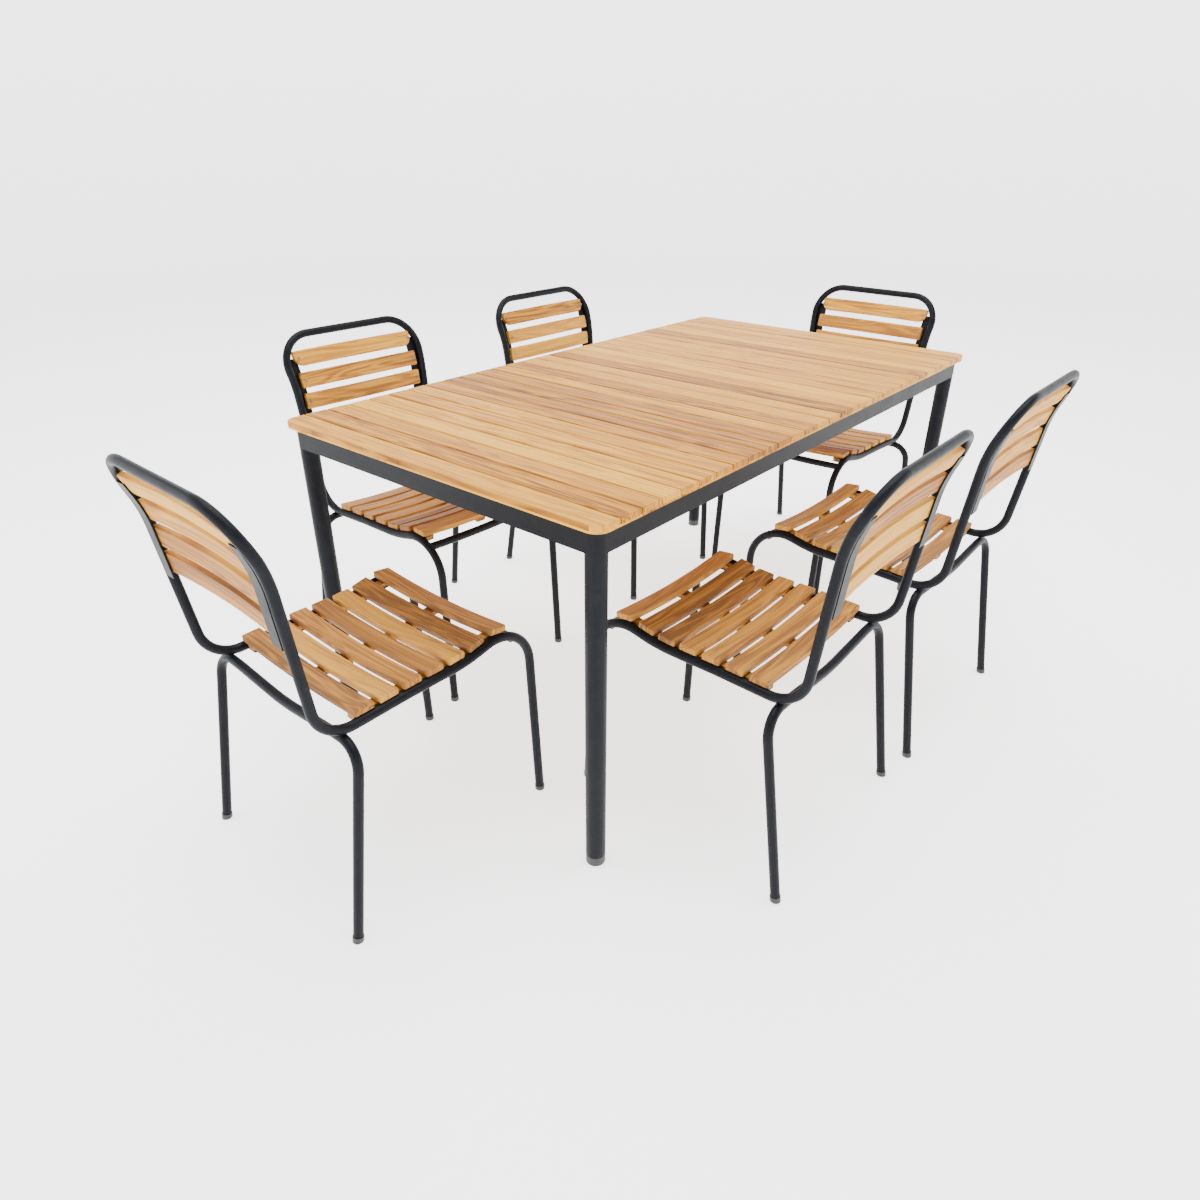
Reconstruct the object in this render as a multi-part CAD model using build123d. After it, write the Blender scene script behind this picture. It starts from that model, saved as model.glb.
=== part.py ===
from build123d import *
import os
from math import atan2, degrees

# Patio dining set: a slatted wooden table on a metal underframe, and six
# stacking chairs made of bent steel tube with wooden slats.
# Millimetres, +Z up, floor at Z = 0. +X runs along the table's length.
# The origin is on the floor, in the middle of the whole set's footprint.

# ---------------------------------------------------------------- table
TABLE_X = 64.9            # table centre, measured from the set's own origin
TABLE_Y = 12.55
TOP_LENGTH = 1605.0
TOP_WIDTH = 887.0
TOP_HEIGHT = 750.0
TOP_THICK = 15.0
TOP_CORNER_R = 27.0
SLAT_COUNT = 29
END_SLAT = 54.0           # the two end slats are a little wider
SLAT_GAP = 4.0
SLAT_EDGE_R = 2.0
RIM_THICK = 4.0           # thin wooden border under the slat ends
RIM_WIDTH = 54.0
BATTEN_WIDTH = 60.0
BATTEN_THICK = 14.0

LEG_R = 19.9
LEG_WALL = 2.0
LEG_INSET = 33.5          # leg axis to the edge of the top
PAD_THICK = 4.0           # black pad between a leg and the top
APRON_HEIGHT = 42.0
APRON_THICK = 20.0
APRON_WALL = 2.0
APRON_GAP = 3.0           # shadow gap between apron and top
CROSS_RAIL = 25.0
CROSS_RAIL_X = 265.0
FOOT_HEIGHT = 22.0
BRACKET_SIZE = 78.0
BRACKET_START = 32.0
BRACKET_THICK = 4.0
BRACKET_DROP = 12.0       # top of a corner plate below the top of the aprons
BOLT_HEAD_R = 5.5
BOLT_HEAD = 3.5
BOLT_NEAR = 14.0
BOLT_FAR = 38.0

# ---------------------------------------------------------------- chair
# Each chair is drawn facing +X, with its own origin on the floor under
# the front corners of the frame and Y = 0 on its middle plane.
TUBE_R = 9.5
TUBE_WALL = 1.5
SEAT_HALF = 188.5         # middle plane to the centre of a side rail
FRONT_FOOT_X = 14.0
FRONT_FOOT_Y = 195.0
FRONT_CORNER_Z = 452.0
RAIL_MID_X = -160.0
RAIL_MID_Z = 415.3
RAIL_REAR_X = -300.0
RAIL_REAR_Z = 412.9
REAR_CORNER_X = -472.0
REAR_CORNER_Z = 405.8
KINK_X = -509.4
KINK_Z = 731.0
KINK_Y = 201.0
TOP_RAIL_X = -553.5
TOP_RAIL_Z = 840.5
TOP_RAIL_Y = 213.4
FRONT_BEND_R = 88.0
RAIL_BEND_R = 320.0
REAR_BEND_R = 71.0
KINK_BEND_R = 248.0
TOP_BEND_R = 83.0

REAR_FOOT_X = -498.0
REAR_FOOT_Y = 240.5
REAR_LEG_RAKE = 0.1723    # forward travel of the rear legs per unit of height
REAR_LOOP_Y = 231.6
REAR_LOOP_Z = 393.2
REAR_LOOP_IN_Y = 158.5
REAR_LOOP_IN_Z = 391.7
REAR_LOOP_SAG = 10.6
REAR_LOOP_R = 48.0

CROSSBAR_X = -41.0
CROSSBAR_Z = 415.5
CROSSBAR_SAG = 5.0

SEAT_SLATS = 7
SEAT_SLAT_LENGTH = 379.0
SEAT_SLAT_WIDTH = 40.0
SEAT_SLAT_THICK = 14.0
SEAT_SLAT_SAG = 9.0
SEAT_SLAT_FIRST_X = -76.0
SEAT_SLAT_PITCH = 51.0
SEAT_REST = 0.9           # slat underside above the top of the rail tube

BACK_SLATS = 4
BACK_SLAT_LENGTH = 362.0
BACK_SLAT_WIDTH = 39.0
BACK_SLAT_THICK = 13.0
BACK_SLAT_SAG = 8.0
BACK_SLAT_TOP_Z = 786.0
BACK_SLAT_PITCH = 51.0
BACK_SLAT_BACK = -6.0     # back face of a slat from the post's centreline
TOP_SLAT_CORNER_R = 26.0
SLAT_ROUND = 3.0
SLAT_END_R = 4.0

STRAP_THICK = 3.0
STRAP_FRONT_X = -60.0
STRAP_REAR_X = -398.0
RAIL_LINE_STEPS = 12
SEAT_STRAP_OUT_Y = 185.0
SEAT_STRAP_IN_Y = 155.0
BATTEN_IN_Y = 156.0
BATTEN_OUT_Y = 177.0
SEAT_BATTEN_TOP = 6.5     # top of the side battens above the rail's centreline
SEAT_BATTEN_THICK = 9.0
MID_BATTEN_HALF = 13.0
MID_BATTEN_TOP = 0.6
BACK_STRAP_LOW_Z = 601.0
BACK_STRAP_HIGH_Z = 785.0
BACK_STRAP_WIDTH = 28.0
BACK_STRAP_FACE = 7.4     # front of the strap behind the post's centreline
BACK_STRAP_FLARE = 2.4    # lean of the strap outwards, degrees

PLUG_R = 10.6
PLUG_HEIGHT = 12.0
PLUG_SPIGOT = 22.0
SCREW_HEAD_R = 3.6
SCREW_HEAD = 2.0
SCREW_CLEAR = 0.15        # paint and washer under a screw head

# Chair name, position of its own origin from the table centre, heading.
CHAIRS = [
    ("end_near", -694.3, 20.9, -1.3),
    ("side_left_near", -385.0, 240.4, -90.9),
    ("side_left_far", 349.5, 230.7, -89.9),
    ("end_far", 564.5, -18.2, 178.7),
    ("side_right_near", -384.9, -242.0, 90.0),
    ("side_right_far", 210.5, -264.9, 88.8),
]

os.makedirs("parts", exist_ok=True)


def write(name, solids):
    """Write one node, given as a list of solids."""
    flat = []
    for item in solids:
        flat.extend(item.solids())
    shape = flat[0] if len(flat) == 1 else Compound(children=flat)
    shape.label = name
    export_step(shape, "parts/" + name + ".step")


# ================================================================ chair
def half_frame_points():
    """Corner points of the left half of the main frame tube, foot to top rail."""
    return [
        (FRONT_FOOT_X, FRONT_FOOT_Y, 0),
        (0, SEAT_HALF, FRONT_CORNER_Z),
        (RAIL_MID_X, SEAT_HALF, RAIL_MID_Z),
        (RAIL_REAR_X, SEAT_HALF, RAIL_REAR_Z),
        (REAR_CORNER_X, SEAT_HALF, REAR_CORNER_Z),
        (KINK_X, KINK_Y, KINK_Z),
        (TOP_RAIL_X, TOP_RAIL_Y, TOP_RAIL_Z),
    ]


def mirrored(points):
    """The same points on the other side of the middle plane, in reverse order."""
    return [(x, -y, z) for x, y, z in reversed(points)]


def shorten_ends(points, length):
    """Move the first and last point up their own legs by a length."""
    ends = []
    for tip, inner in ((points[0], points[1]), (points[-1], points[-2])):
        leg = Vector(*inner) - Vector(*tip)
        moved = Vector(*tip) + leg.normalized() * length
        ends.append((moved.X, moved.Y, moved.Z))
    return [ends[0]] + points[1:-1] + [ends[1]]


def frame_path():
    """Centreline of the main frame tube."""
    half = half_frame_points()
    points = shorten_ends(half + mirrored(half), PLUG_HEIGHT)
    bends = [FRONT_BEND_R, RAIL_BEND_R, RAIL_BEND_R, REAR_BEND_R, KINK_BEND_R, TOP_BEND_R]
    return FilletPolyline(*points, radius=bends + bends[::-1])


def rear_x(z):
    """X of the raked plane that holds the rear leg loop, at one height."""
    return REAR_FOOT_X + REAR_LEG_RAKE * z


def rear_loop_path():
    """Centreline of the rear legs and the bar that joins them under the seat."""
    sag_z = REAR_LOOP_IN_Z - REAR_LOOP_SAG
    half = [
        (rear_x(0), REAR_FOOT_Y, 0),
        (rear_x(REAR_LOOP_Z), REAR_LOOP_Y, REAR_LOOP_Z),
        (rear_x(REAR_LOOP_IN_Z), REAR_LOOP_IN_Y, REAR_LOOP_IN_Z),
    ]
    middle = [(rear_x(sag_z), 0, sag_z)]
    points = shorten_ends(half + middle + mirrored(half), PLUG_HEIGHT)
    bends = [REAR_LOOP_R, 150, 600, 150, REAR_LOOP_R]
    return FilletPolyline(*points, radius=bends)


def crossbar_path():
    """Centreline of the bowed bar under the front slat, past both rails."""
    return ThreePointArc(
        (CROSSBAR_X, SEAT_HALF, CROSSBAR_Z),
        (CROSSBAR_X, 0, CROSSBAR_Z - CROSSBAR_SAG),
        (CROSSBAR_X, -SEAT_HALF, CROSSBAR_Z),
    )


def rod(path, radius):
    """A solid round bar along a path."""
    start = Plane(origin=path @ 0, z_dir=path % 0)
    return sweep(start * Circle(radius), path=path)


def tube(path, radius, wall):
    """A round tube along a path."""
    start = Plane(origin=path @ 0, z_dir=path % 0)
    ring = start * (Circle(radius) - Circle(radius - wall))
    return sweep(ring, path=path)


FRAME = frame_path()
REAR_LOOP = rear_loop_path()


def frame_station(x):
    """Point and direction on the left half of the frame where it reaches X."""
    low = 0.0
    high = 0.5
    for _ in range(40):
        middle = (low + high) / 2
        if (FRAME @ middle).X > x:
            low = middle
        else:
            high = middle
    return FRAME @ low, FRAME % low


def post_station(z):
    """Point and direction on the left back post at a height above the seat."""
    low = REAR_CORNER_X - 4.0
    high = TOP_RAIL_X
    for _ in range(40):
        middle = (low + high) / 2
        if frame_station(middle)[0].Z < z:
            low = middle
        else:
            high = middle
    return frame_station(low)


def plank(length, width, thick, sag, corner_r):
    """A dished slat: its ends rest at Z = 0 and its middle dips by the sag."""
    half = length / 2
    under = ThreePointArc((-half, 0), (0, -sag), (half, 0))
    right = Line((half, 0), (half, thick))
    over = ThreePointArc((half, thick), (0, thick - sag), (-half, thick))
    left = Line((-half, thick), (-half, 0))
    section = Plane.YZ * make_face([under, right, over, left])
    body = extrude(section, amount=width / 2, both=True)
    for side, radius in ((1, SLAT_END_R), (-1, corner_r)):
        corners = body.edges().filter_by(Axis.Z)
        corners = corners.filter_by(lambda edge: side * edge.center().X > width / 2 - 0.5)
        corners = corners.filter_by(lambda edge: abs(edge.center().Y) > half - 0.5)
        body = fillet(corners, radius=radius)
    rims = body.edges().filter_by(Axis.Z, reverse=True)
    return fillet(rims, radius=SLAT_ROUND)


def laid_on_frame(point, direction, offset, turn):
    """Place for a slat on the frame: its width along the tube, its underside
    a distance above (or, turned over, behind) the tube's centreline."""
    pitch = degrees(atan2(-direction.Z, -direction.X)) + turn
    place = Location((point.X, 0, point.Z), (0, -pitch, 0))
    return place * Location((0, 0, offset))


def seat_slats():
    """Seven dished slats across the side rails."""
    slat = plank(SEAT_SLAT_LENGTH, SEAT_SLAT_WIDTH, SEAT_SLAT_THICK, SEAT_SLAT_SAG, SLAT_END_R)
    slats = []
    for index in range(SEAT_SLATS):
        point, direction = frame_station(SEAT_SLAT_FIRST_X - index * SEAT_SLAT_PITCH)
        slats.append(laid_on_frame(point, direction, TUBE_R + SEAT_REST, 0) * slat)
    return slats


def back_slat_places():
    """Places of the back slats, from the top one down."""
    places = []
    for index in range(BACK_SLATS):
        point, direction = post_station(BACK_SLAT_TOP_Z - index * BACK_SLAT_PITCH)
        places.append(laid_on_frame(point, direction, BACK_SLAT_BACK, 180))
    return places


def back_slats():
    """Four dished slats between the back posts; the top one follows the frame's corners."""
    sizes = (BACK_SLAT_LENGTH, BACK_SLAT_WIDTH, BACK_SLAT_THICK, BACK_SLAT_SAG)
    top = plank(*sizes, TOP_SLAT_CORNER_R)
    lower = plank(*sizes, SLAT_END_R)
    shapes = [top] + [lower] * (BACK_SLATS - 1)
    return [place * shape for place, shape in zip(back_slat_places(), shapes)]


def rail_line(offset):
    """Curve at a distance above the side rail's centreline, as long as the seat straps."""
    points = []
    for step in range(RAIL_LINE_STEPS + 1):
        x = STRAP_FRONT_X + (STRAP_REAR_X - STRAP_FRONT_X) * step / RAIL_LINE_STEPS
        point, direction = frame_station(x)
        points.append((point.X + direction.Z * offset, point.Z - direction.X * offset))
    return Spline(*points)


def rail_bar(top, thick, low_y, high_y):
    """A bar that follows the side rail, its top a distance above the rail's centreline."""
    upper = rail_line(top)
    lower = rail_line(top - thick)
    ends = [Line(upper @ 0, lower @ 0), Line(upper @ 1, lower @ 1)]
    profile = Plane.XZ * make_face([upper, lower, *ends])
    return Pos(0, high_y, 0) * extrude(profile, amount=high_y - low_y)


def seat_battens():
    """Three wooden battens under the seat slats: one beside each rail, one in the middle."""
    side = (SEAT_BATTEN_TOP, SEAT_BATTEN_THICK, BATTEN_IN_Y, BATTEN_OUT_Y)
    middle = (MID_BATTEN_TOP, SEAT_BATTEN_THICK, -MID_BATTEN_HALF, MID_BATTEN_HALF)
    left = rail_bar(*side)
    return [left, left.mirror(Plane.XZ), rail_bar(*middle)]


def seat_strap(frame_rod):
    """Flat bar welded along the inside of the left side rail."""
    top = SEAT_BATTEN_TOP - SEAT_BATTEN_THICK
    return rail_bar(top, STRAP_THICK, SEAT_STRAP_IN_Y, SEAT_STRAP_OUT_Y) - frame_rod


def back_strap(frame_rod):
    """Flat bar welded along the inside of the left back post, behind the slats."""
    low = post_station(BACK_STRAP_LOW_Z)[0]
    high = post_station(BACK_STRAP_HIGH_Z)[0]
    knots = [(low.X, low.Z), (KINK_X, KINK_Z), (high.X, high.Z)]
    front = FilletPolyline(*[(x - BACK_STRAP_FACE, z) for x, z in knots], radius=KINK_BEND_R)
    rear = FilletPolyline(
        *[(x - BACK_STRAP_FACE - STRAP_THICK, z) for x, z in knots], radius=KINK_BEND_R
    )
    ends = [Line(front @ 0, rear @ 0), Line(front @ 1, rear @ 1)]
    profile = Plane.XZ * make_face([*front.edges(), *rear.edges(), *ends])
    outer_y = (low.Y + high.Y) / 2 - 3.3
    bar = Pos(0, outer_y, 0) * extrude(profile, amount=BACK_STRAP_WIDTH)
    hinge = Pos(0, outer_y, (low.Z + high.Z) / 2)
    leaned = hinge * Rot(X=-BACK_STRAP_FLARE) * hinge.inverse() * bar
    return leaned - frame_rod


def slat_supports(frame_rod):
    """The welded steel that carries the slats: four flat bars and the front crossbar."""
    seat = seat_strap(frame_rod)
    back = back_strap(frame_rod)
    crossbar = tube(crossbar_path(), TUBE_R, TUBE_WALL) - frame_rod
    pairs = [seat, seat.mirror(Plane.XZ), back, back.mirror(Plane.XZ)]
    return pairs + [crossbar.solids().sort_by(SortBy.VOLUME)[-1]]


def foot_plug(tip, inner):
    """Plastic plug in the end of a leg, trimmed flat on the floor."""
    tip = Vector(*tip)
    axis = (Vector(*inner) - tip).normalized()
    base = Plane(origin=tip - axis * PLUG_R / 2, z_dir=axis)
    cap = extrude(base * Circle(PLUG_R), amount=PLUG_HEIGHT + PLUG_R / 2)
    cap = cap & Pos(tip.X, tip.Y, PLUG_SPIGOT) * Box(4 * PLUG_R, 4 * PLUG_R, 2 * PLUG_SPIGOT)
    cap = fillet(cap.edges().sort_by(Axis.Z)[0], radius=2.0)
    root = Plane(origin=tip + axis * PLUG_HEIGHT, z_dir=axis)
    spigot = extrude(root * Circle(TUBE_R - TUBE_WALL), amount=PLUG_SPIGOT - PLUG_HEIGHT)
    return cap + spigot


def foot_plugs():
    """Plugs of the two front and the two rear legs."""
    front = half_frame_points()
    rear_inner = (rear_x(REAR_LOOP_Z), REAR_LOOP_Y, REAR_LOOP_Z)
    left = [
        foot_plug(front[0], front[1]),
        foot_plug((rear_x(0), REAR_FOOT_Y, 0), rear_inner),
    ]
    return left + [plug.mirror(Plane.XZ) for plug in left]


def screw_head():
    """Low domed head, its flat face at Z = 0 and its dome below."""
    head = Cylinder(SCREW_HEAD_R, SCREW_HEAD, align=(Align.CENTER, Align.CENTER, Align.MAX))
    return fillet(head.edges().sort_by(Axis.Z)[0], radius=1.2)


def slat_screws():
    """Screw heads under the seat straps and behind the back straps."""
    head = screw_head()
    heads = []
    strap_under = SEAT_BATTEN_TOP - SEAT_BATTEN_THICK - STRAP_THICK
    seat_y = (SEAT_STRAP_IN_Y + BATTEN_OUT_Y) / 2
    for index in range(SEAT_SLATS):
        x = SEAT_SLAT_FIRST_X - index * SEAT_SLAT_PITCH
        point, direction = frame_station(x)
        place = laid_on_frame(point, direction, strap_under - SCREW_CLEAR, 0)
        heads += [place * Pos(0, side * seat_y, 0) * head for side in (1, -1)]
    back_y = BACK_SLAT_LENGTH / 2 - 9.0
    strap_back = BACK_STRAP_FACE + STRAP_THICK
    for place in back_slat_places():
        behind = place * Pos(0, 0, -(strap_back + BACK_SLAT_BACK + SCREW_CLEAR))
        heads += [behind * Pos(0, side * back_y, 0) * head for side in (1, -1)]
    return heads


def chair_pieces():
    """All pieces of one chair, by node name, in the chair's own frame."""
    frame_rod = rod(FRAME, TUBE_R)
    return {
        "main_frame": [tube(FRAME, TUBE_R, TUBE_WALL)],
        "rear_leg_loop": [tube(REAR_LOOP, TUBE_R, TUBE_WALL)],
        "slat_supports": slat_supports(frame_rod),
        "seat_slats": seat_slats(),
        "seat_battens": seat_battens(),
        "back_slats": back_slats(),
        "foot_plugs": foot_plugs(),
        "slat_screws": slat_screws(),
    }


# ================================================================ table
def at_table(solids):
    """Move solids drawn about the table's centre to its place in the set."""
    return [Pos(TABLE_X, TABLE_Y, 0) * solid for solid in solids]


def prism(sketch, low_z, high_z):
    """A flat outline raised between two heights."""
    return extrude(Pos(0, 0, low_z) * sketch, amount=high_z - low_z)


def softened(solid):
    """A board with its upper edges lightly rounded."""
    return fillet(solid.faces().sort_by(Axis.Z)[-1].edges(), radius=SLAT_EDGE_R)


def top_slats():
    """Cross slats of the table top; the outer two carry its rounded corners."""
    low = TOP_HEIGHT - TOP_THICK + RIM_THICK
    inner_count = SLAT_COUNT - 2
    pitch = (TOP_LENGTH - 2 * END_SLAT - SLAT_GAP) / inner_count
    inner = softened(prism(Rectangle(pitch - SLAT_GAP, TOP_WIDTH), low, TOP_HEIGHT))
    first_x = -pitch * (inner_count - 1) / 2
    slats = [Pos(first_x + index * pitch, 0, 0) * inner for index in range(inner_count)]
    outline = Rectangle(END_SLAT, TOP_WIDTH)
    outer_corners = outline.vertices().filter_by(lambda corner: corner.X > 0)
    end = softened(prism(fillet(outer_corners, radius=TOP_CORNER_R), low, TOP_HEIGHT))
    end = Pos((TOP_LENGTH - END_SLAT) / 2, 0, 0) * end
    return [end.mirror(Plane.YZ)] + slats + [end]


def top_rim():
    """Four thin boards that close the slat ends from below, butted at the corners."""
    low = TOP_HEIGHT - TOP_THICK
    edge = (TOP_WIDTH - RIM_WIDTH) / 2
    outline = RectangleRounded(TOP_LENGTH, TOP_WIDTH, TOP_CORNER_R)
    band = outline & Pos(0, edge) * Rectangle(TOP_LENGTH, RIM_WIDTH)
    left = prism(band, low, low + RIM_THICK)
    end_board = prism(Rectangle(RIM_WIDTH, TOP_WIDTH - 2 * RIM_WIDTH), low, low + RIM_THICK)
    end = (TOP_LENGTH - RIM_WIDTH) / 2
    return [left, left.mirror(Plane.XZ), Pos(end, 0, 0) * end_board, Pos(-end, 0, 0) * end_board]


def top_battens():
    """Three long battens that the slats are screwed to from below."""
    length = TOP_LENGTH - 2 * RIM_WIDTH - 2
    high = TOP_HEIGHT - TOP_THICK + RIM_THICK
    board = prism(Rectangle(length, BATTEN_WIDTH), high - BATTEN_THICK, high)
    spread = TOP_WIDTH / 2 - RIM_WIDTH - BATTEN_WIDTH
    return [Pos(0, y, 0) * board for y in (-spread, 0, spread)]


def leg_centres():
    """Axes of the four legs, from the near left corner round."""
    x = TOP_LENGTH / 2 - LEG_INSET
    y = TOP_WIDTH / 2 - LEG_INSET
    return [(-x, -y), (x, -y), (x, y), (-x, y)]


def leg():
    """Round leg tube."""
    ring = Circle(LEG_R) - Circle(LEG_R - LEG_WALL)
    return prism(ring, FOOT_HEIGHT, TOP_HEIGHT - TOP_THICK - PAD_THICK)


def leg_foot():
    """Rounded plastic foot, its collar set into the leg tube."""
    foot = Cylinder(LEG_R - 0.3, FOOT_HEIGHT, align=(Align.CENTER, Align.CENTER, Align.MIN))
    foot = fillet(foot.edges().sort_by(Axis.Z)[0], radius=3.0)
    return foot + prism(Circle(LEG_R - LEG_WALL), FOOT_HEIGHT, 2 * FOOT_HEIGHT)


def leg_pad():
    """Black pad between the leg and the wooden top, with a collar in the tube."""
    high = TOP_HEIGHT - TOP_THICK
    disc = prism(Circle(LEG_R - 2.0), high - PAD_THICK, high)
    return disc + prism(Circle(LEG_R - LEG_WALL), high - PAD_THICK - 14.0, high - PAD_THICK)


def apron(length, across):
    """Hollow apron rail between two legs, drawn along X with its outer face at Y = 0.
    The ends are coped to the round legs."""
    high = TOP_HEIGHT - TOP_THICK - APRON_GAP
    low = high - APRON_HEIGHT
    shell = Rectangle(APRON_THICK, APRON_HEIGHT)
    bore = Rectangle(APRON_THICK - 2 * APRON_WALL, APRON_HEIGHT - 2 * APRON_WALL)
    section = Plane.YZ * Pos(APRON_THICK / 2, (low + high) / 2) * (shell - bore)
    bar = extrude(section, amount=length / 2, both=True)
    for side in (-1, 1):
        post = Pos(side * length / 2, LEG_R, 0) * prism(Circle(LEG_R), 0, TOP_HEIGHT)
        bar = bar - post
    return Pos(0, -across / 2, 0) * bar.solids().sort_by(SortBy.VOLUME)[-1]


def long_apron():
    """Apron of a long side."""
    return apron(TOP_LENGTH - 2 * LEG_INSET, TOP_WIDTH - 2 * LEG_INSET + 2 * LEG_R)


def short_apron():
    """Apron of a short side."""
    turned = apron(TOP_WIDTH - 2 * LEG_INSET, TOP_LENGTH - 2 * LEG_INSET + 2 * LEG_R)
    return Rot(Z=-90) * turned


def inner_half(size):
    """Half the clear distance between two facing aprons."""
    return size / 2 - LEG_INSET + LEG_R - APRON_THICK


def cross_rails():
    """Square tubes between the long aprons, under the battens."""
    high = TOP_HEIGHT - TOP_THICK + RIM_THICK - BATTEN_THICK
    bore = CROSS_RAIL - 2 * APRON_WALL
    ring = Rectangle(CROSS_RAIL, CROSS_RAIL) - Rectangle(bore, bore)
    section = Plane.XZ * Pos(0, high - CROSS_RAIL / 2) * ring
    bar = extrude(section, amount=inner_half(TOP_WIDTH), both=True)
    return [Pos(x, 0, 0) * bar for x in (-CROSS_RAIL_X, CROSS_RAIL_X)]


def corner_brackets():
    """Folded corner plates that tie the two aprons of each corner together."""
    x = inner_half(TOP_LENGTH)
    y = inner_half(TOP_WIDTH)
    size = BRACKET_SIZE
    start = BRACKET_START
    outline = Polyline((x, y - start), (x, y - size), (x - size, y), (x - start, y), close=True)
    high = TOP_HEIGHT - TOP_THICK - APRON_GAP - BRACKET_DROP
    plate = prism(make_face(outline), high - BRACKET_THICK, high)
    right = [plate, plate.mirror(Plane.XZ)]
    return right + [item.mirror(Plane.YZ) for item in right]


def bracket_bolts():
    """Bolt heads under the corner plates, one pair to each."""
    high = TOP_HEIGHT - TOP_THICK - APRON_GAP - BRACKET_DROP - BRACKET_THICK
    head = extrude(Pos(0, 0, high) * RegularPolygon(BOLT_HEAD_R, 6), amount=-BOLT_HEAD)
    head = head.solids()[0]
    x = inner_half(TOP_LENGTH)
    y = inner_half(TOP_WIDTH)
    spots = [(x - BOLT_NEAR, y - BOLT_FAR), (x - BOLT_FAR, y - BOLT_NEAR)]
    heads = [Pos(px, py, 0) * head for px, py in spots]
    heads += [item.mirror(Plane.XZ) for item in heads]
    return heads + [item.mirror(Plane.YZ) for item in heads]


def write_table():
    """Write the nodes of the table."""
    write("table_top_slats", at_table(top_slats()))
    write("table_top_rim", at_table(top_rim()))
    write("table_top_battens", at_table(top_battens()))
    near = long_apron()
    left = short_apron()
    write("table_long_aprons", at_table([near, near.mirror(Plane.XZ)]))
    write("table_short_aprons", at_table([left, left.mirror(Plane.YZ)]))
    write("table_cross_rails", at_table(cross_rails()))
    write("table_corner_brackets", at_table(corner_brackets()))
    write("table_bracket_bolts", at_table(bracket_bolts()))
    places = [Pos(x, y, 0) for x, y in leg_centres()]
    write("table_near_legs", at_table([place * leg() for place in places[:2]]))
    write("table_far_legs", at_table([place * leg() for place in places[2:]]))
    write("table_leg_pads", at_table([place * leg_pad() for place in places]))
    write("table_leg_feet", at_table([place * leg_foot() for place in places]))


def write_chairs():
    """Write the nodes of the six chairs, each the same chair in its own place."""
    pieces = chair_pieces()
    for name, x, y, heading in CHAIRS:
        place = Location((TABLE_X + x, TABLE_Y + y, 0), (0, 0, heading))
        for piece, solids in pieces.items():
            write("chair_" + name + "_" + piece, [place * solid for solid in solids])


write_table()
write_chairs()
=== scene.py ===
import math

import bmesh
import bpy
from mathutils import Matrix, Vector

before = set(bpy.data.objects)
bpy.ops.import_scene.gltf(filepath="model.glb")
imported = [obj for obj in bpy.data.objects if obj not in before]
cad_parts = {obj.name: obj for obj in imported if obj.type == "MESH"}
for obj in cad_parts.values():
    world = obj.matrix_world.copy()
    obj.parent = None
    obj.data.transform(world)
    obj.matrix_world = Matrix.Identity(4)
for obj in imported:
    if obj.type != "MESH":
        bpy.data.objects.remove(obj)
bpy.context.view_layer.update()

# Places of the table and the chairs in the set's frame, in metres and degrees.
TABLE = Vector((0.0649, 0.01255, 0.0))
CHAIRS = {
    "end_near": (-0.6943, 0.0209, -1.3),
    "side_left_near": (-0.3850, 0.2404, -90.9),
    "side_left_far": (0.3495, 0.2307, -89.9),
    "end_far": (0.5645, -0.0182, 178.7),
    "side_right_near": (-0.3849, -0.2420, 90.0),
    "side_right_far": (0.2105, -0.2649, 88.8),
}


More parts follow.
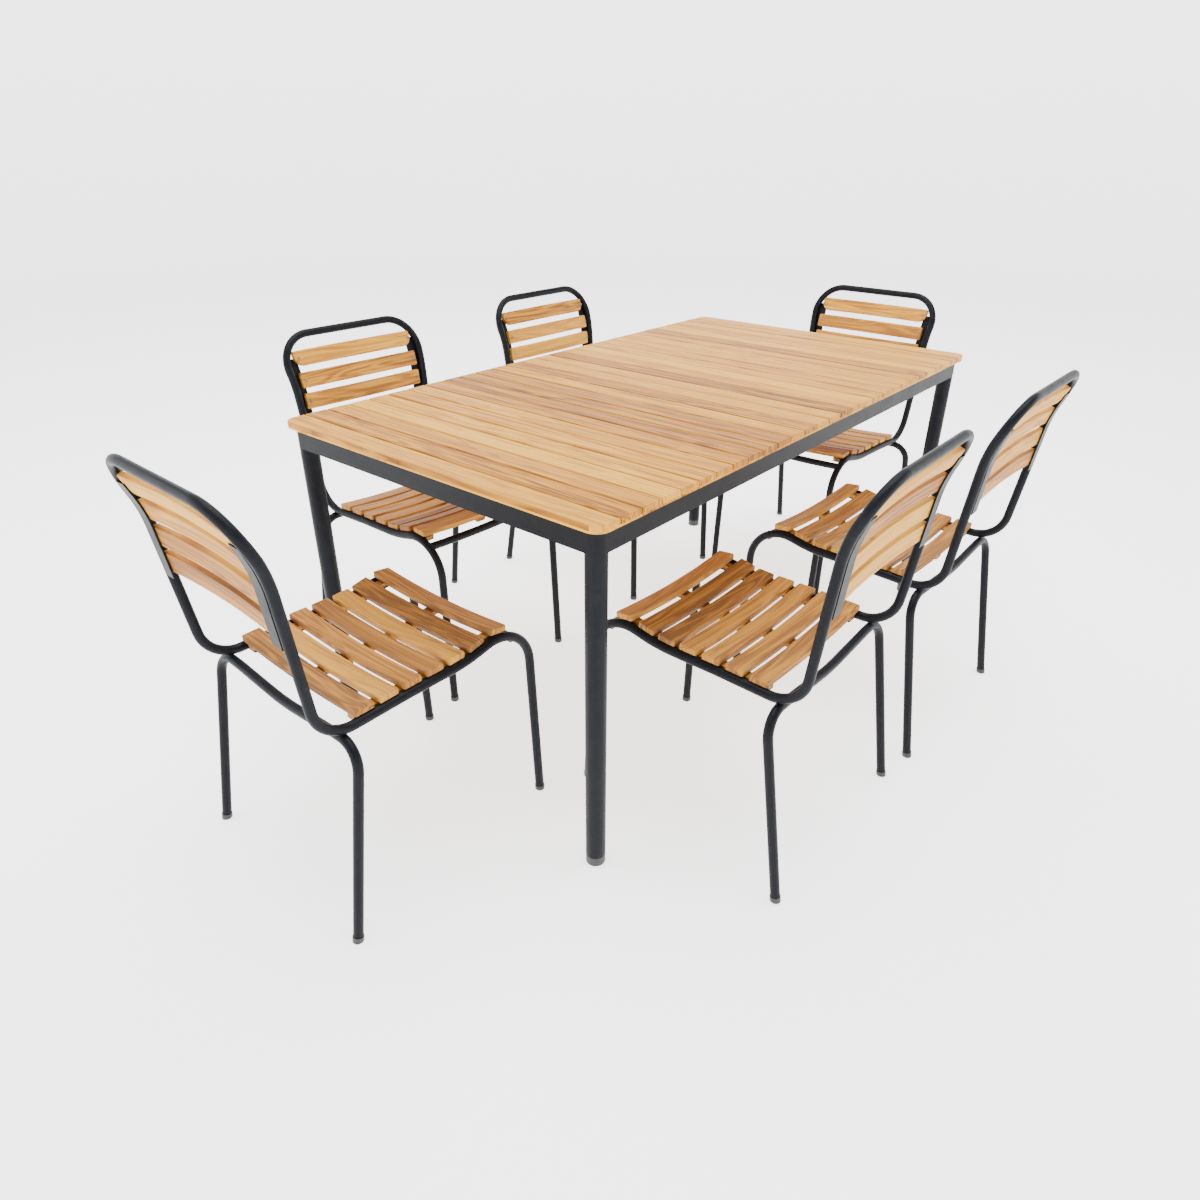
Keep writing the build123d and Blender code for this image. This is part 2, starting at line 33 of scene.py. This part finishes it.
# ---------------------------------------------------------------- node helpers
class Graph:
    """Short way to write a material's node graph."""

    def __init__(self, name):
        self.material = bpy.data.materials.new(name)
        self.material.use_nodes = True
        self.tree = self.material.node_tree
        self.shader = self.tree.nodes["Principled BSDF"]
        coordinates = self.tree.nodes.new("ShaderNodeTexCoord")
        self.place = coordinates.outputs["Object"]

    def set(self, socket, value):
        if isinstance(value, bpy.types.NodeSocket):
            self.tree.links.new(value, socket)
        elif value is not None:
            socket.default_value = value

    def node(self, kind, inputs=(), **settings):
        made = self.tree.nodes.new(kind)
        for key, value in settings.items():
            setattr(made, key, value)
        for key, value in dict(inputs).items():
            self.set(made.inputs[key], value)
        return made

    def math(self, operation, a, b=None, c=None):
        made = self.node("ShaderNodeMath", operation=operation)
        for index, value in enumerate((a, b, c)):
            self.set(made.inputs[index], value)
        return made.outputs[0]

    def axis(self, vector, letter):
        made = self.node("ShaderNodeSeparateXYZ", {"Vector": vector})
        return made.outputs[letter]

    def join(self, x, y, z):
        return self.node("ShaderNodeCombineXYZ", {"X": x, "Y": y, "Z": z}).outputs[0]

    def noise(self, vector, scale, detail=4.0, roughness=0.55, distortion=0.0):
        values = {
            "Vector": vector,
            "Scale": scale,
            "Detail": detail,
            "Roughness": roughness,
            "Distortion": distortion,
        }
        return self.node("ShaderNodeTexNoise", values).outputs["Fac"]

    def chance(self, value):
        """Three random numbers, the same for every equal value."""
        made = self.node("ShaderNodeTexWhiteNoise", {"W": value}, noise_dimensions="1D")
        split = self.node("ShaderNodeSeparateColor", {"Color": made.outputs["Color"]})
        return split.outputs[0], split.outputs[1], split.outputs[2]

    def spread(self, value, low, high, to_low=0.0, to_high=1.0):
        """The value, moved from one range to another and held inside it."""
        values = {
            "Value": value,
            "From Min": low,
            "From Max": high,
            "To Min": to_low,
            "To Max": to_high,
        }
        return self.node("ShaderNodeMapRange", values, clamp=True).outputs[0]

    def mix(self, factor, a, b):
        made = self.node("ShaderNodeMix", data_type="RGBA")
        for index, value in ((0, factor), (6, a), (7, b)):
            self.set(made.inputs[index], value)
        return made.outputs[2]

    def ramp(self, factor, stops):
        made = self.node("ShaderNodeValToRGB", {"Fac": factor})
        elements = made.color_ramp.elements
        while len(elements) < len(stops):
            elements.new(0.5)
        for element, (position, colour) in zip(elements, stops):
            element.position = position
            element.color = (*colour, 1.0)
        return made.outputs["Color"]

    def bump(self, height, distance, strength):
        values = {"Height": height, "Distance": distance, "Strength": strength}
        return self.node("ShaderNodeBump", values).outputs["Normal"]

    def finish(self, colour, roughness, normal, specular=None):
        """Join a colour, a roughness and a relief to the shader."""
        self.set(self.shader.inputs["Base Color"], colour)
        self.set(self.shader.inputs["Roughness"], roughness)
        self.set(self.shader.inputs["Normal"], normal)
        if specular is not None:
            self.shader.inputs["Specular IOR Level"].default_value = specular
        return self.material


# ---------------------------------------------------------------- materials
# Colours of the wood, from its palest band to its darkest.
PALE = (0.75, 0.385, 0.038)
HONEY = (0.60, 0.262, 0.023)
TAN = (0.38, 0.145, 0.015)
BROWN = (0.15, 0.050, 0.008)
WARM_BOARD = (0.42, 0.15, 0.03, 1.0)
PORE = (0.12, 0.045, 0.014, 1.0)
VEIN = (0.17, 0.055, 0.014, 1.0)
# Grey of weathered wood, which on the seats is also painted shade.
WEATHERED_AND_SHADE_GREY = (0.20, 0.125, 0.062, 1.0)
WOOD_SPECULAR = 0.08
WOOD_SHEEN = 0.42
TOP_SHEEN = 0.36          # the table top is a little smoother
# Seats and their battens get more grey than the backs: weathering, and painted shade under the
# table top.
SEAT_WEATHERING_AND_SHADE = 0.34
BACK_DULL = 0.14

# Colours of the steel and the plastic.
CHARCOAL = (0.0042, 0.0049, 0.0070)
DUST = (0.10, 0.098, 0.095, 1.0)
RUB = (0.2, 0.2, 0.2, 1.0)
COAT_SPECULAR = 0.09
COAT_ROUGHNESS = 0.36
BLACK_PLASTIC = (0.012, 0.012, 0.013)
SCUFF = (0.12, 0.12, 0.115, 1.0)
ZINC_DARK = (0.10, 0.10, 0.105, 1.0)
ZINC_LIGHT = (0.26, 0.255, 0.25, 1.0)


def wood(name, boards, painted_shade, seed, weathering_and_shade=0.0, sheen=WOOD_SHEEN):
    """Oiled acacia. boards(graph) gives the number of the board, and the place in
    metres along the grain, across the board and through it. The third argument is
    painted shade, which darkens the wood (a negative one lightens it), and the fifth
    mixes in a grey that stands partly for weathered wood and partly for painted shade."""
    g = Graph(name)
    index, along, across, height = boards(g)
    board = g.math("ADD", index, seed)
    tone, shift, warmth = g.chance(board)
    cut, swirl, _ = g.chance(g.math("ADD", board, 57.3))
    start = g.math("MULTIPLY", shift, 31.0)
    # Growth rings: slow bands across the board, drawn out and bent along it.
    far = g.math("ADD", g.math("MULTIPLY", along, 1.1), start)
    ring_place = g.join(far, g.math("MULTIPLY", across, 17.0), g.math("MULTIPLY", height, 9.0))
    rings = g.noise(ring_place, 1.7, 2.0, 0.5, 0.6)
    bands = g.math("SINE", g.math("MULTIPLY", rings, g.spread(cut, 0, 1, 34.0, 64.0)))
    bands = g.spread(bands, -1.0, 1.0)
    # Fibres: long thin streaks, broad ones, and short dark pores.
    streak_place = g.join(g.math("MULTIPLY", far, 2.3), g.math("MULTIPLY", across, 330.0), height)
    streaks = g.noise(streak_place, 1.0, 5.0, 0.62)
    broad_place = g.join(g.math("MULTIPLY", far, 0.8), g.math("MULTIPLY", across, 62.0), swirl)
    broad = g.noise(broad_place, 1.0, 3.0, 0.5, 0.3)
    pore_place = g.join(g.math("MULTIPLY", far, 26.0), g.math("MULTIPLY", across, 900.0), start)
    pores = g.spread(g.noise(pore_place, 1.0, 2.0, 0.5), 0.63, 0.74)
    mixed = g.math("MULTIPLY_ADD", bands, 0.20, g.math("MULTIPLY", streaks, 0.56))
    mixed = g.math("MULTIPLY_ADD", broad, 0.45, mixed)
    mixed = g.math("ADD", mixed, g.spread(tone, 0, 1, -0.20, 0.16))
    # Painted shade: the whole board made darker where shade falls on it, or lighter.
    mixed = g.math("SUBTRACT", mixed, painted_shade)
    mixed = g.math("MULTIPLY_ADD", mixed, 1.3, -0.17)
    colour = g.ramp(mixed, [(0.18, BROWN), (0.40, TAN), (0.60, HONEY), (0.86, PALE)])
    red = g.mix(g.spread(warmth, 0.45, 1.0, 0.0, 0.26), colour, WARM_BOARD)
    colour = g.mix(g.math("MULTIPLY", pores, 0.45), red, PORE)
    # Darker mineral streaks, on some boards only.
    vein_place = g.join(g.math("MULTIPLY", far, 0.9), g.math("MULTIPLY", across, 88.0), warmth)
    vein = g.spread(g.noise(vein_place, 1.0, 2.0, 0.4), 0.62, 0.72)
    vein = g.math("MULTIPLY", vein, g.spread(swirl, 0.45, 1.0, 0.0, 0.55))
    colour = g.mix(vein, colour, VEIN)
    # Weathered grey, which on the seats and their battens is also painted shade.
    colour = g.mix(weathering_and_shade, colour, WEATHERED_AND_SHADE_GREY)
    rough = g.spread(streaks, 0.3, 0.7, sheen + 0.12, sheen)
    rough = g.math("MULTIPLY_ADD", pores, 0.2, rough)
    relief = g.math("MULTIPLY_ADD", streaks, 0.6, g.math("MULTIPLY", pores, -0.8))
    relief = g.math("MULTIPLY_ADD", bands, 0.25, relief)
    return g.finish(colour, rough, g.bump(relief, 0.00022, 0.8), WOOD_SPECULAR)


# Where the boards lie: the table top's slats from its centre, the seat slats from
# the front one's X, and the back slats from the top one's height.
TOP_PITCH = 0.055296
TOP_BATTEN_PITCH = 0.22
CHAIR_PITCH = 0.051
SEAT_FIRST_X = -0.076
BACK_FIRST_Z = 0.786
BATTENS_PER_METRE = 8.0


def top_boards(g):
    """Cross slats of the table top: numbered along X, grain along Y."""
    x, y, z = (g.axis(g.place, letter) for letter in "XYZ")
    steps = g.math("DIVIDE", g.math("SUBTRACT", x, TABLE.x), TOP_PITCH)
    return g.math("ROUND", steps), y, x, z


def long_boards(g):
    """Boards that run along X under the slats: numbered across Y."""
    x, y, z = (g.axis(g.place, letter) for letter in "XYZ")
    return g.math("ROUND", g.math("DIVIDE", y, TOP_BATTEN_PITCH)), x, y, z


def chair_place(g, name):
    """Place in a chair's own frame: X forward, Y to its left."""
    x, y, heading = CHAIRS[name]
    values = {
        "Vector": g.place,
        "Location": (TABLE.x + x, TABLE.y + y, 0.0),
        "Rotation": (0.0, 0.0, math.radians(heading)),
    }
    made = g.node("ShaderNodeMapping", values, vector_type="TEXTURE")
    return tuple(g.axis(made.outputs[0], letter) for letter in "XYZ")


def seat_boards(name):
    """Seat slats of one chair: numbered from the front, grain from side to side."""

    def boards(g):
        x, y, z = chair_place(g, name)
        steps = g.math("DIVIDE", g.math("SUBTRACT", SEAT_FIRST_X, x), CHAIR_PITCH)
        return g.math("ROUND", steps), y, x, z

    return boards


def back_boards(name):
    """Back slats of one chair: numbered from the top down."""

    def boards(g):
        x, y, z = chair_place(g, name)
        steps = g.math("DIVIDE", g.math("SUBTRACT", BACK_FIRST_Z, z), CHAIR_PITCH)
        return g.math("ROUND", steps), y, z, x

    return boards


def batten_boards(name):
    """Battens under a seat: grain from front to back."""

    def boards(g):
        x, y, z = chair_place(g, name)
        return g.math("ROUND", g.math("MULTIPLY", y, BATTENS_PER_METRE)), x, y, z

    return boards


def powder_coat(name):
    """Satin charcoal powder coat: fine orange peel, slight dust, rubbed here and there."""
    g = Graph(name)
    cloud = g.noise(g.place, 7.0, 4.0, 0.6)
    dust = g.spread(g.noise(g.place, 42.0, 5.0, 0.7), 0.5, 0.8)
    light = tuple(channel * 1.5 + 0.002 for channel in CHARCOAL)
    tint = g.mix(g.spread(cloud, 0.35, 0.7, 0.0, 0.55), (*CHARCOAL, 1.0), (*light, 1.0))
    tint = g.mix(g.math("MULTIPLY", dust, 0.05), tint, DUST)
    speck = g.spread(g.noise(g.place, 900.0, 1.0, 0.5), 0.70, 0.76)
    tint = g.mix(g.math("MULTIPLY", speck, 0.08), tint, RUB)
    rough = g.spread(cloud, 0.3, 0.7, COAT_ROUGHNESS, COAT_ROUGHNESS + 0.07)
    rough = g.math("MULTIPLY_ADD", dust, 0.14, rough)
    peel = g.noise(g.place, 520.0, 2.0, 0.5)
    return g.finish(tint, rough, g.bump(peel, 0.00008, 0.6), COAT_SPECULAR)


def moulded_plastic(name):
    """Matt moulded plastic with scuffs."""
    g = Graph(name)
    scuff = g.spread(g.noise(g.place, 130.0, 5.0, 0.7), 0.52, 0.75)
    tint = g.mix(g.math("MULTIPLY", scuff, 0.25), (*BLACK_PLASTIC, 1.0), SCUFF)
    rough = g.math("MULTIPLY_ADD", scuff, 0.2, 0.5)
    grain = g.noise(g.place, 1500.0, 2.0, 0.5)
    return g.finish(tint, rough, g.bump(grain, 0.00005, 0.6))


def plated_steel(name):
    """Dark zinc-plated steel, slightly clouded."""
    g = Graph(name)
    cloud = g.noise(g.place, 260.0, 4.0, 0.6)
    tint = g.mix(cloud, ZINC_DARK, ZINC_LIGHT)
    rough = g.spread(cloud, 0.3, 0.7, 0.32, 0.5)
    scratches = g.noise(g.place, 1900.0, 2.0, 0.5)
    g.shader.inputs["Metallic"].default_value = 0.9
    return g.finish(tint, rough, g.bump(scratches, 0.00004, 0.5))


def paint(node, material):
    """Give a CAD node its material."""
    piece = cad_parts[node]
    piece.data.materials.clear()
    piece.data.materials.append(material)
    for face in piece.data.polygons:
        face.material_index = 0


coat = powder_coat("charcoal_powder_coat")
plastic = moulded_plastic("black_moulded_plastic")
steel = plated_steel("dark_zinc_plate")

paint("table_top_slats", wood("acacia_table_top", top_boards, 0.0, 3.0, sheen=TOP_SHEEN))
# The rim is drawn a little lighter, and the battens under the top are darkened with painted shade.
paint("table_top_rim", wood("acacia_table_rim", top_boards, -0.05, 500.0))
paint("table_top_battens", wood("acacia_table_battens", long_boards, 0.12, 40.0))
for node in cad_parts:
    if node.endswith(("_feet", "_pads", "_plugs")):
        paint(node, plastic)
    elif node.endswith(("_screws", "_bolts")):
        paint(node, steel)
    elif not node.endswith(("_slats", "_battens", "_rim")):
        paint(node, coat)
for number, name in enumerate(CHAIRS):
    chair = "chair_" + name
    seed = 100.0 + 20.0 * number
    # Seats are darkened with painted shade for the table top above them, and their battens more,
    # under the seat.
    seat = wood("acacia_seat_" + name, seat_boards(name), 0.06, seed, SEAT_WEATHERING_AND_SHADE)
    back = wood("acacia_back_" + name, back_boards(name), 0.0, seed + 8, BACK_DULL)
    batten = wood("acacia_batten_" + name, batten_boards(name), 0.12, seed + 14, SEAT_WEATHERING_AND_SHADE)
    paint(chair + "_seat_slats", seat)
    paint(chair + "_back_slats", back)
    paint(chair + "_seat_battens", batten)


# ---------------------------------------------------------------- stage, light, camera
FLOOR_WHITE = (0.96, 0.96, 0.96, 1.0)
FLOOR_GLOW = 2.0
SKY_COLOUR = (0.95, 0.975, 1.0, 1.0)
SKY_STRENGTH = 0.6
OVERHEAD_POWER = 430.0
WINDOW_POWER = 40.0


def floor_paint():
    """White matt studio floor that glows a little, so that it stays white."""
    g = Graph("studio_floor")
    values = {
        "Base Color": FLOOR_WHITE,
        "Roughness": 0.9,
        "Specular IOR Level": 0.1,
        "Emission Color": (1.0, 1.0, 1.0, 1.0),
        "Emission Strength": FLOOR_GLOW,
    }
    for key, value in values.items():
        g.shader.inputs[key].default_value = value
    return g.material


# The floor runs out flat round the set and sweeps up far away, like a studio's backdrop.
# Each pair is a distance from the middle and a height.
SWEEP = [(0.0, 0.0), (10.0, 0.0), (12.0, 0.12), (14.0, 0.7), (15.6, 2.0), (16.5, 4.0), (16.9, 7.0)]
floor_mesh = bpy.data.meshes.new("floor")
shape = bmesh.new()
corners = [shape.verts.new((reach, 0.0, rise)) for reach, rise in SWEEP]
for first, second in zip(corners, corners[1:]):
    shape.edges.new((first, second))
outline = corners + list(shape.edges)
bmesh.ops.spin(shape, geom=outline, cent=(0, 0, 0), axis=(0, 0, 1), angle=2 * math.pi, steps=96)
bmesh.ops.remove_doubles(shape, verts=shape.verts, dist=0.001)
bmesh.ops.recalc_face_normals(shape, faces=shape.faces)
shape.to_mesh(floor_mesh)
shape.free()
floor_mesh.shade_smooth()
floor = bpy.data.objects.new("floor", floor_mesh)
bpy.context.scene.collection.objects.link(floor)
floor.data.materials.append(floor_paint())

world = bpy.data.worlds.new("studio")
bpy.context.scene.world = world
world.use_nodes = True
sky = world.node_tree.nodes["Background"].inputs
sky["Color"].default_value = SKY_COLOUR
sky["Strength"].default_value = SKY_STRENGTH


def soft_light(name, place, target, size, power, colour):
    """A rectangular lamp at a place, turned to a target."""
    lamp = bpy.data.lights.new(name, "AREA")
    lamp.shape = "RECTANGLE"
    lamp.size, lamp.size_y = size
    lamp.energy = power
    lamp.color = colour
    made = bpy.data.objects.new(name, lamp)
    bpy.context.scene.collection.objects.link(made)
    made.location = place
    made.rotation_euler = (Vector(target) - Vector(place)).to_track_quat("-Z", "Y").to_euler()


WARM_LIGHT = (1.0, 0.985, 0.96)
COOL_LIGHT = (0.92, 0.96, 1.0)
soft_light("overhead", (0.3, 0.2, 4.6), (0, 0, 0), (5.0, 4.0), OVERHEAD_POWER, WARM_LIGHT)
soft_light("left_window", (-3.6, 2.6, 2.6), (0, 0, 0.4), (3.0, 2.4), WINDOW_POWER, COOL_LIGHT)

# The camera: focal length and principal point in picture widths, place in metres.
FOCAL = 0.70671
CENTRE_X = 0.499147
CENTRE_Y = 0.501905
YAW = 0.69864
PITCH = 0.5007
ROLL = 0.00382
SENSOR = 36.0             # millimetres
EYE = TABLE + Vector((-1.72704, -1.22096, 1.28091))

flat = math.cos(PITCH)
ahead = Vector((math.cos(YAW) * flat, math.sin(YAW) * flat, -math.sin(PITCH)))
level = Vector((math.sin(YAW), -math.cos(YAW), 0.0))
upward = level.cross(ahead)
right = level * math.cos(ROLL) + upward * math.sin(ROLL)
up = upward * math.cos(ROLL) - level * math.sin(ROLL)
camera_data = bpy.data.cameras.new("camera")
camera_data.sensor_width = SENSOR
camera_data.lens = FOCAL * SENSOR
camera_data.shift_x = 0.5 - CENTRE_X
camera_data.shift_y = CENTRE_Y - 0.5
camera_data.clip_end = 200.0
camera = bpy.data.objects.new("camera", camera_data)
bpy.context.scene.collection.objects.link(camera)
rows = Matrix((right, up, -ahead)).transposed().to_4x4()
camera.matrix_world = Matrix.Translation(EYE) @ rows
bpy.context.scene.camera = camera
